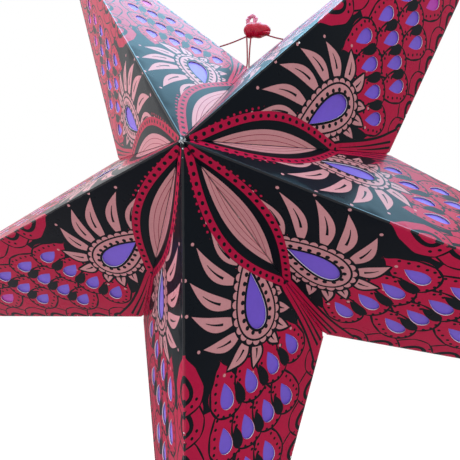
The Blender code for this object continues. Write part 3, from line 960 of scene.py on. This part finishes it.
def add_tie(name, body, index, side, material):
    """One half of the tie, which swells to a stopper inside its arm."""
    line = tie_route(index, side)
    at = lengths_along(line) / lengths_along(line)[-1]
    radii = np.interp(np.linspace(0, 1, 200), at[: len(STOPPER_RADII) + 1], [*STOPPER_RADII, TWINE_RADIUS])
    strand = add_strand("tie_string_" + name + "_twine", body, material, line, radii)
    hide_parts("tie_string_" + name)


def drop_route():
    """Down from the knot through the notch, round a small bight, and back up."""
    first, last = (knot_surface(DROP_MIDDLE + aside, -1) for aside in (-DROP_SPREAD, DROP_SPREAD))
    stations = (
        (0.22, 1.0, DROP_BACK / 3),
        (0.42, 0.72, DROP_BACK * 0.7),
        (0.60, 0.62, DROP_BACK),
        (0.78, 1.2, DROP_BACK),
        (0.92, 1.9, DROP_BACK),
    )

    def leg(way):
        return [
            np.array((DROP_MIDDLE + way * half, depth, first[2] - DROP_FALL * share))
            for share, half, depth in stations
        ]

    foot = np.array((DROP_MIDDLE, DROP_BACK, first[2] - DROP_FALL))
    return smooth_line([first, *leg(-1), foot, *leg(1)[::-1], last], 4)


def add_drop(material):
    route = drop_route()
    drop_piece = add_strand("drop_string_twine", KNOT_BODY, material, route, TWINE_RADIUS, pitch=2.2)
    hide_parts("drop_string")


def wrap_line(turns, start, end, swell, lean, first_turn, count):
    """A strand wound round the knot's long core, from one share of its length to another."""
    t = np.linspace(0, 1, count)
    share = start + (end - start) * t
    angle = first_turn + 2 * math.pi * turns * t + 0.22 * np.sin(9 * t + lean)
    tuck = np.interp(t, (0, 0.10, 0.90, 1), (0.35, 1, 1, 0.35))
    lobe = 1.05 - 0.17 * share + 0.05 * np.cos(7.5 * share)
    size = np.sin(math.pi * (0.10 + 0.80 * share)) ** 0.55 * lobe * tuck
    x = (share - 0.5) * (KNOT_LENGTH - 2.0) + lean * np.sin(angle)
    y = (KNOT_DEPTH / 2 - 1.1 + swell) * size * np.cos(angle)
    z = (KNOT_HEIGHT / 2 - 1.1 + swell) * size * np.sin(angle) - 1.8 * (share - 0.5)
    return KNOT_CENTRE + np.stack((x, y, z), 1)


# How the knot is wound: (name, turns, start, end, swell, lean, first turn, points) and the strand's radius
WRAPS = (
    ("wraps", (2.0, 0.10, 0.78, -0.6, 2.2, 0.9, 240), 2.1),
    ("crossing", (0.7, 0.14, 0.86, -0.5, 1.2, 2.9, 120), 1.7),
    ("hitch", (1.0, 0.20, 0.36, 0.1, -0.8, 4.2, 90), 1.7),
)


def add_knot(material):
    """The wound knot: a core, the strands round it, and the cut end that sticks out."""
    places = np.linspace(0, 1, 24)
    core = KNOT_CENTRE + np.outer(np.linspace(-0.43, 0.44, 24) * KNOT_LENGTH, (1, 0, -0.13))
    swell = np.interp(places, (0, 0.1, 0.3, 0.5, 0.72, 0.9, 1), (2.8, 4.4, 5.0, 4.9, 4.5, 3.5, 2.2))
    bundle = dict(plies=5, pitch=34.0, groove=0.07, sides=28, step=0.5)
    add_strand("tie_knot_core", KNOT_BODY, material, core, swell, **bundle)
    fat = dict(plies=2, pitch=14.0, groove=0.04, sides=22, step=0.4)
    for name, form, radius in WRAPS:
        strand = add_strand("tie_knot_" + name, KNOT_BODY, material, wrap_line(*form), radius, **fat)
        if name == "wraps":
            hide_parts("tie_knot")
    end = KNOT_CENTRE + (KNOT_LENGTH * 0.30, -2.2, -KNOT_HEIGHT * 0.38)
    stub = smooth_line([end + (-3, 1.2, 1.4), end, end + (2.2, -0.7, -0.9), end + (3.4, -0.7, -1.6)], 8)
    add_strand("tie_knot_stub", KNOT_BODY, material, stub, [0.95, 0.95, 0.9, 1.1], pitch=3.0)


def add_loop(material):
    """The loop that the star hangs by. Both its feet go into the knot."""
    turns = np.radians(np.linspace(-35, 215, 40))
    ring = np.stack((2.9 * np.cos(turns), 0.5 * np.sin(3 * turns), 2.2 * np.sin(turns) - 0.8), 1)
    feet = [knot_surface(end[0], 1) - (0, 0, 1.2) for end in (ring[0], ring[-1])]
    route = smooth_line([feet[0], *ring, feet[1]], 3)
    twist = dict(plies=2, pitch=6.5, groove=0.24, sides=20)
    hanging = add_strand("hanging_loop_twine", KNOT_BODY, material, route, 1.45, **twist)
    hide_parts("hanging_loop")


# Materials

INK_COLOURS = {
    "night": (0.0022, 0.0040, 0.0068),
    "crimson": (0.355, 0.0060, 0.042),
    "rose": (0.46, 0.215, 0.228),
    "wine": (0.20, 0.020, 0.045),
}
CRUMPLED_INK = (0.030, 0.034, 0.045)
WORN_BOARD, BARE_BOARD = (0.74, 0.75, 0.77), (0.74, 0.72, 0.71)
VIOLET, MAGENTA = (0.125, 0.060, 0.50), (0.36, 0.012, 0.33)
VIOLET_REACH = (0.163, 0.167)  # metres from a panel's centre corner, between which violet turns to magenta


class Wiring:
    """Adds nodes to a node tree. A socket given as a value is joined, and anything else is set."""

    def __init__(self, tree):
        self.tree = tree

    def feed(self, socket, value):
        if isinstance(value, bpy.types.NodeSocket):
            self.tree.links.new(value, socket)
        else:
            socket.default_value = value

    def fill(self, node, values):
        for name, value in values.items():
            self.feed(node.inputs[name], value)

    def node(self, kind, values=None, **settings):
        made = self.tree.nodes.new("ShaderNode" + kind)
        for name, value in settings.items():
            setattr(made, name, value)
        self.fill(made, values or {})
        return made

    def group(self, name, values):
        """The outputs of a shared group, placed with its own values."""
        made = self.node("Group", node_tree=GROUPS[name])
        self.fill(made, values)
        return made.outputs

    def math(self, operation, first, second=0.5, third=0.5, clamp=False):
        values = {0: first, 1: second, 2: third}
        return self.node("Math", values, operation=operation, use_clamp=clamp).outputs[0]

    def vector(self, operation, first, second=(0, 0, 0)):
        """A Vector Math node's result: a number where the operation gives one."""
        made = self.node("VectorMath", {0: first, 1: second}, operation=operation)
        return made.outputs["Value" if operation in ("DOT_PRODUCT", "DISTANCE", "LENGTH") else "Vector"]

    def mix(self, share, first, second):
        """A colour between two others. The colour sockets of a Mix node are its seventh and eighth."""
        return self.node("Mix", {0: share, 6: first, 7: second}, data_type="RGBA").outputs[2]

    def spread(self, value, low, high, start=0.0, end=1.0):
        """A value moved from one range to another, and kept inside it."""
        names = {"Value": value, "From Min": low, "From Max": high, "To Min": start, "To Max": end}
        return self.node("MapRange", names).outputs[0]

    def cloud(self, place, scale, detail=2.0, roughness=0.5):
        """Mottle of a scale, as a value."""
        values = {"Vector": place, "Scale": scale, "Detail": detail, "Roughness": roughness}
        return self.node("TexNoise", values).outputs["Fac"]

    def bump(self, height, strength, distance, **more):
        values = {"Height": height, "Strength": strength, "Distance": distance, **more}
        return self.node("Bump", values).outputs["Normal"]

    def brightened(self, value, colour):
        return self.node("HueSaturation", {"Value": value, "Color": colour}).outputs["Color"]

    def here(self):
        """The place that the surface has in the row frame while the star is open."""
        return self.node("TexCoord").outputs["Object"]

    def seen(self):
        """1 where something is looked at, straight, in gloss or through glass, and 0 where it only lights."""
        path = self.node("LightPath").outputs
        seen = self.math("MAXIMUM", path["Is Camera Ray"], path["Is Glossy Ray"])
        return self.math("MAXIMUM", seen, path["Is Transmission Ray"])


GROUPS = {}


def new_group(name, inputs, outputs):
    """A new shared group, as (its wiring, the sockets that it is given, its output node)."""
    tree = bpy.data.node_groups.new(name, "ShaderNodeTree")
    for label, kind, value in inputs:
        socket = tree.interface.new_socket(name=label, in_out="INPUT", socket_type="NodeSocket" + kind)
        if value is not None:
            socket.default_value = value
    for label, kind in outputs:
        tree.interface.new_socket(name=label, in_out="OUTPUT", socket_type="NodeSocket" + kind)
    GROUPS[name] = tree
    return Wiring(tree), tree.nodes.new("NodeGroupInput").outputs, tree.nodes.new("NodeGroupOutput")


def make_fold_distance():
    """How far a place on a panel is from its nearest fold and its centre corner, in millimetres."""
    wire, given, result = new_group(
        "fold_distance",
        [("Place", "Vector", None)],
        [("Nearest", "Float"), ("Centre", "Float")],
    )
    scaled = wire.node("VectorMath", {0: given["Place"], "Scale": 1 / (MAP_SCALE * MM)}, operation="SCALE")
    place = scaled.outputs[0]
    ridge = wire.vector("DOT_PRODUCT", place, (0, 1, 0))
    edge = wire.vector("DOT_PRODUCT", place, (-math.sin(TIP_TURN), -math.cos(TIP_TURN), 0))
    edge = wire.math("ADD", edge, EDGE_DISTANCE)
    valley = wire.vector("DOT_PRODUCT", place, (math.sin(VALLEY_TURN), -math.cos(VALLEY_TURN), 0))
    nearest = wire.math("MINIMUM", wire.math("MINIMUM", ridge, edge), valley)
    wire.fill(result, {"Nearest": nearest, "Centre": wire.vector("LENGTH", place)})


def make_fold_wear():
    """Where the film has cracked and shows white card: broken flakes at folds, flecks elsewhere."""
    wire, given, result = new_group(
        "fold_wear",
        [
            ("Place", "Vector", None),
            ("Distance", "Float", 10.0),
            ("Centre", "Float", 100.0),
            ("Width", "Float", 0.8),
            ("Amount", "Float", 0.5),
        ],
        [("Mask", "Float")],
    )
    place = given["Place"]
    near_centre = wire.spread(given["Centre"], 2.0, 12.0, 1.0, 0.0)
    reach = wire.math("MULTIPLY", wire.math("MULTIPLY_ADD", near_centre, 1.5, 1.0), given["Width"])
    closeness = wire.math("SUBTRACT", 1.0, wire.math("DIVIDE", given["Distance"], reach), clamp=True)
    patchy = wire.math("MAXIMUM", wire.spread(wire.cloud(place, 17.0), 0.50, 0.64), near_centre)
    strength = wire.math("MULTIPLY", wire.math("MULTIPLY_ADD", patchy, 0.85, 0.15), closeness)
    strength = wire.math("MULTIPLY", strength, given["Amount"])
    level = wire.math("MULTIPLY_ADD", strength, -0.30, 0.80)
    worn = wire.math("GREATER_THAN", wire.cloud(place, 620.0, 4.0, 0.65), level)
    cells = wire.node("TexVoronoi", {"Vector": place, "Scale": 70.0, "Randomness": 1.0}).outputs
    draw = wire.node("SeparateColor", {0: cells["Color"]}).outputs[0]
    chosen = wire.math("GREATER_THAN", draw, wire.spread(given["Distance"], 1.0, 9.0, 0.62, 0.985))
    fleck = wire.math("MULTIPLY", wire.math("LESS_THAN", cells["Distance"], 0.055), chosen)
    wire.fill(result, {"Mask": wire.math("MAXIMUM", worn, fleck)})


def make_ink_print():
    """An ink with the slight mottle of offset printing, and white card where it is worn away."""
    wire, given, result = new_group(
        "ink_print",
        [("Place", "Vector", None), ("Ink", "Color", (0.5, 0.5, 0.5, 1)), ("Worn", "Float", 0.0)],
        [("Color", "Color")],
    )
    value = wire.math("MULTIPLY_ADD", wire.cloud(given["Place"], 900.0), 0.22, 0.79)
    value = wire.math("MULTIPLY_ADD", wire.cloud(given["Place"], 24.0, 3.0), 0.22, value)
    inked_card = wire.brightened(value, given["Ink"])
    wire.fill(result, {"Color": wire.mix(given["Worn"], inked_card, (*WORN_BOARD, 1))})


def make_laminate():
    """The film over the print: slow ripples, fine strokes and a tooth, scuffed where it is worn."""
    wire, given, result = new_group(
        "laminate",
        [("Place", "Vector", None), ("Worn", "Float", 0.0), ("Base Roughness", "Float", 0.3)],
        [("Roughness", "Float"), ("Normal", "Vector")],
    )
    place, worn = given["Place"], given["Worn"]
    rough = wire.math("MULTIPLY_ADD", wire.cloud(place, 60.0, 6.0, 0.7), 0.14, given["Base Roughness"])
    rough = wire.math("MULTIPLY_ADD", worn, 0.4, rough, clamp=True)
    slow = wire.bump(wire.cloud(place, 16.0, 1.0), 0.25, 0.002)
    height = wire.math("MULTIPLY_ADD", worn, -0.6, wire.cloud(place, 700.0, 3.0))
    wire.fill(result, {"Roughness": rough, "Normal": wire.bump(height, 0.35, 0.00006, Normal=slow)})


def make_dyed_fibre():
    """Fibres and cloudy dye, as a brightness and a height."""
    wire, given, result = new_group(
        "dyed_fibre",
        [("Place", "Vector", None), ("Fineness", "Float", 260.0), ("Unevenness", "Float", 0.4)],
        [("Value", "Float"), ("Height", "Float")],
    )
    fibre = wire.cloud(given["Place"], given["Fineness"], 6.0, 0.75)
    both = wire.math("ADD", fibre, wire.cloud(given["Place"], 30.0))
    both = wire.math("MULTIPLY_ADD", both, 0.5, -0.5)
    value = wire.math("MULTIPLY_ADD", both, given["Unevenness"], 1.0)
    wire.fill(result, {"Value": value, "Height": fibre})


def new_material(name):
    """A material with an empty tree, its wiring, and its Principled shader."""
    material = bpy.data.materials.new(name)
    material.use_nodes = True
    return material, Wiring(material.node_tree), material.node_tree.nodes["Principled BSDF"]


def ink_material(name, ink, roughness, level, wear_width, wear):
    """Card printed with one ink under its film, which has cracked along the folds."""
    material, wire, shader = new_material(name)
    place = wire.node("UVMap", uv_map="panel").outputs["UV"]
    distance = wire.group("fold_distance", {"Place": place})
    here = wire.here()
    folds = {"Distance": distance["Nearest"], "Centre": distance["Centre"]}
    worn = wire.group("fold_wear", {"Place": here, **folds, "Width": wear_width, "Amount": wear})["Mask"]
    colour = wire.group("ink_print", {"Place": here, "Ink": (*ink, 1), "Worn": worn})
    film = wire.group("laminate", {"Place": here, "Worn": worn, "Base Roughness": roughness})
    looks = {"Base Color": colour["Color"], "Roughness": film["Roughness"], "Normal": film["Normal"]}
    wire.fill(shader, {**looks, "IOR": 1.5, "Specular IOR Level": level})
    return material


def scuffed_material():
    """Card whose film has crumpled and half worn off, so that dark ink and white board both show."""
    material, wire, shader = new_material("scuffed_corner")
    here = wire.here()
    creases = wire.node("TexVoronoi", {"Vector": here, "Scale": 900.0}, feature="DISTANCE_TO_EDGE").outputs[0]
    patches = wire.spread(wire.cloud(here, 520.0, 4.0), 0.44, 0.60)
    worn = wire.math("SUBTRACT", patches, wire.spread(creases, 0.0, 0.14, 0.8, 0.0), clamp=True)
    colour = wire.group("ink_print", {"Place": here, "Ink": (*CRUMPLED_INK, 1), "Worn": worn})
    rough = wire.spread(worn, 0.0, 1.0, 0.25, 0.7)
    looks = {"Base Color": colour["Color"], "Roughness": rough, "Normal": wire.bump(creases, 0.8, 0.0003)}
    wire.fill(shader, looks)
    return material


def core_material():
    """Bare white board, on the cut edges and the inside."""
    material, wire, shader = new_material("card_core")
    colour = wire.group("ink_print", {"Place": wire.here(), "Ink": (*BARE_BOARD, 1), "Worn": 0.0})
    wire.fill(shader, {"Base Color": colour["Color"], "Roughness": 0.8})
    return material


def liner_material():
    """Dyed tissue behind the windows: fibres, a soft sheen, and another tint towards the tip."""
    material, wire, shader = new_material("violet_tissue")
    here = wire.here()
    fibre = wire.group("dyed_fibre", {"Place": here, "Fineness": 260.0, "Unevenness": 0.55})
    offset = wire.vector("ABSOLUTE", wire.vector("SUBTRACT", here, tuple(star_point(0, 0, 0))))
    along = wire.vector("DISTANCE", offset, (0, HALF_DEPTH * MM, 0))
    tint = wire.mix(wire.spread(along, *VIOLET_REACH), (*VIOLET, 1), (*MAGENTA, 1))
    colour, bump = wire.brightened(fibre["Value"], tint), wire.bump(fibre["Height"], 0.5, 0.0001)
    wire.fill(shader, {"Base Color": colour, "Normal": bump, "Roughness": 0.5})
    wire.fill(shader, {"Specular IOR Level": 0.3, "Sheen Weight": 0.25})
    return material


def twine_material(name, tint, rubbed, fuzz):
    """Red twine: a waxed satin skin over fibres, paler where it is rubbed."""
    material, wire, shader = new_material(name)
    here = wire.here()
    fibre = wire.group("dyed_fibre", {"Place": here, "Fineness": 1500.0, "Unevenness": fuzz * 1.4})
    rub = wire.cloud(here, 340.0, 3.0)
    tone = wire.mix(wire.spread(rub, 0.50, 0.70), (*tint, 1), (*rubbed, 1))
    rough = wire.spread(rub, 0.3, 0.7, 0.28, 0.46)
    bump = wire.bump(fibre["Height"], fuzz, 0.00012)
    looks = {"Base Color": wire.brightened(fibre["Value"], tone), "Roughness": rough, "Normal": bump}
    wire.fill(shader, {**looks, "Specular IOR Level": 0.2, "Coat Weight": 0.35, "Coat Roughness": 0.14})
    return material


def dress_liners(material):
    """The tinted sheets keep their solids, with the tissue's finish."""
    for name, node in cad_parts.items():
        if name.endswith("_liner"):
            node.data.materials.clear()
            node.data.materials.append(material)


# Light and floor

STAR_MIDDLE = (0, 0, -0.13)

# Soft lamps: (name, place, size, watts, colour). They light the star and don't show in its gloss.
LAMPS = (
    ("overhead", (0.1, -0.1, 1.0), (1.4, 1.2), 32, (0.74, 0.87, 1.0)),
    ("front", (0.8, -1.5, -0.1), (1.0, 1.0), 10, (1.0, 0.98, 0.97)),
    ("rear", (-0.6, 1.6, 0.2), (1.0, 1.0), 14, (1.0, 0.99, 0.97)),
    ("left", (-1.35, -0.30, 0.15), (0.9, 0.9), 22, (1.0, 0.84, 0.98)),
)

# Cards that only the gloss shows, grey low behind the star against glare and sky blue high behind it:
# (name, place, size, what it faces, its two tones, glow)
GREYS = ((0.20, 0.20, 0.18), (0.24, 0.24, 0.22))
SKY_BLUES = ((0.36, 0.76, 1.0), (0.42, 0.82, 1.0))
LIGHT_CARDS = (
    ("flag", (-0.80, 0.74, -0.46), (1.6, 0.84), (0, 0, -0.2), GREYS, 0.0),
    ("sky_card", (-0.15, 1.15, 0.95), (1.3, 0.8), (-0.15, 1.15, 0), SKY_BLUES, 1.0),
)

FLOOR_HALF, FLOOR_LEVEL = 8.0, -0.75


def add_area(name, place, aim, size, power, colour):
    light = bpy.data.lights.new(name, "AREA")
    light.shape = "RECTANGLE"
    light.size, light.size_y = size
    light.energy = power
    light.color = colour
    lamp = bpy.data.objects.new(name, light)
    bpy.context.collection.objects.link(lamp)
    lamp.location = place
    lamp.rotation_euler = (Vector(aim) - Vector(place)).to_track_quat("-Z", "Y").to_euler()
    return lamp


def add_studio():
    """Plain soft light from all sides, with a pale sky panel that only the film's gloss shows."""
    bpy.context.scene.view_settings.view_transform = "Standard"
    world = bpy.data.worlds.new("studio")
    bpy.context.scene.world = world
    world.use_nodes = True
    wire = Wiring(world.node_tree)
    background = world.node_tree.nodes["Background"]
    wire.fill(background, {"Color": (0.94, 0.97, 1.0, 1), "Strength": 0.60})
    white = wire.node("Background", {"Color": (1, 1, 1, 1), "Strength": 1.0})
    mixed = wire.node("MixShader", {0: wire.seen(), 1: background.outputs[0], 2: white.outputs[0]})
    wire.fill(world.node_tree.nodes["World Output"], {"Surface": mixed.outputs[0]})
    for name, place, size, power, colour in LAMPS:
        add_area(name, place, STAR_MIDDLE, size, power, colour).visible_glossy = False
    panel = add_area("sky_panel", (0.1, 0.36, 0.95), (0.1, 0.36, 0), (1.6, 1.0), 26, (0.30, 0.72, 1.0))
    panel.visible_diffuse = False


def add_plane(name, half, rise, height):
    mesh = bpy.data.meshes.new(name)
    outline = [(-half, -rise, height), (half, -rise, height), (half, rise, height), (-half, rise, height)]
    mesh.from_pydata(outline, [], [(0, 1, 2, 3)])
    plane = show(name, mesh)
    return plane


def add_floor():
    """A plain pale floor below the hanging star. It keeps the star's shadow, and far off it is white."""
    floor = add_plane("floor", FLOOR_HALF, FLOOR_HALF, FLOOR_LEVEL)
    material, wire, shader = new_material("floor_paper")
    here = wire.here()
    tone = wire.mix(wire.cloud(here, 3.0), (0.53, 0.49, 0.465, 1), (0.56, 0.52, 0.495, 1))
    away = wire.vector("DISTANCE", here, (0, 0, FLOOR_LEVEL))
    glow = wire.math("MULTIPLY", wire.seen(), wire.spread(away, 0.4, 2.2, 0.05, 0.72))
    wire.fill(shader, {"Base Color": tone, "Roughness": 0.95, "Specular IOR Level": 0.0})
    wire.fill(shader, {"Emission Color": (1, 1, 1, 1), "Emission Strength": glow})
    floor.data.materials.append(material)


def add_light_card(name, place, size, aim, tones, glow):
    """A card that only the star's gloss shows, to shape what it mirrors."""
    card = add_plane(name, size[0] / 2, size[1] / 2, 0)
    card.location = place
    card.rotation_euler = (Vector(aim) - Vector(place)).to_track_quat("Z", "Y").to_euler()
    card.visible_camera = card.visible_diffuse = card.visible_shadow = False
    material, wire, shader = new_material(name + "_face")
    weave = wire.node("TexNoise", {"Scale": 200.0}).outputs["Fac"]
    tone = wire.mix(weave, *[(*tone, 1) for tone in tones])
    if glow:
        wire.fill(shader, {"Base Color": (0, 0, 0, 1), "Emission Color": tone})
    else:
        wire.fill(shader, {"Base Color": tone})
    wire.fill(shader, {"Roughness": 0.9, "Emission Strength": glow})
    card.data.materials.append(material)


def main():
    add_camera()
    for make in (make_fold_distance, make_fold_wear, make_ink_print, make_laminate, make_dyed_fibre):
        make()
    twine = twine_material("red_twine", (0.29, 0.004, 0.024), (0.42, 0.030, 0.065), 0.5)
    waxed = twine_material("waxed_red_knot", (0.40, 0.004, 0.026), (0.45, 0.016, 0.048), 0.08)
    # The loop is the same red twine as the ties, painted a paler pink for the light that it catches: painted
    # light, not a fade.
    painted_lit_loop = twine_material("red_loop_painted_lighter", (0.58, 0.170, 0.270), (0.70, 0.340, 0.440), 0.25)
    add_tie("right", SEAM_PANELS[0], 0, 1, twine)
    add_tie("left", SEAM_PANELS[1], len(ARMS) - 1, -1, twine)
    add_drop(twine)
    add_knot(waxed)
    add_loop(painted_lit_loop)
    core = core_material()
    flat = {
        ink: ink_material(ink + "_ink", colour, roughness=0.22, level=0.06, wear_width=0.55, wear=0.9)
        for ink, colour in INK_COLOURS.items()
    }
    folded = {
        ink: ink_material(ink + "_ink_on_folds", colour, roughness=0.14, level=0.28, wear_width=0.9, wear=0.6)
        for ink, colour in INK_COLOURS.items()
    }
    add_cards({**flat, CORE: core})
    add_fold_strips({**folded, CORE: core})
    scuffed = scuffed_material()
    for panel in all_panels():
        add_scuff(panel, scuffed)
    dress_liners(liner_material())
    add_studio()
    add_floor()
    for form in LIGHT_CARDS:
        add_light_card(*form)


main()
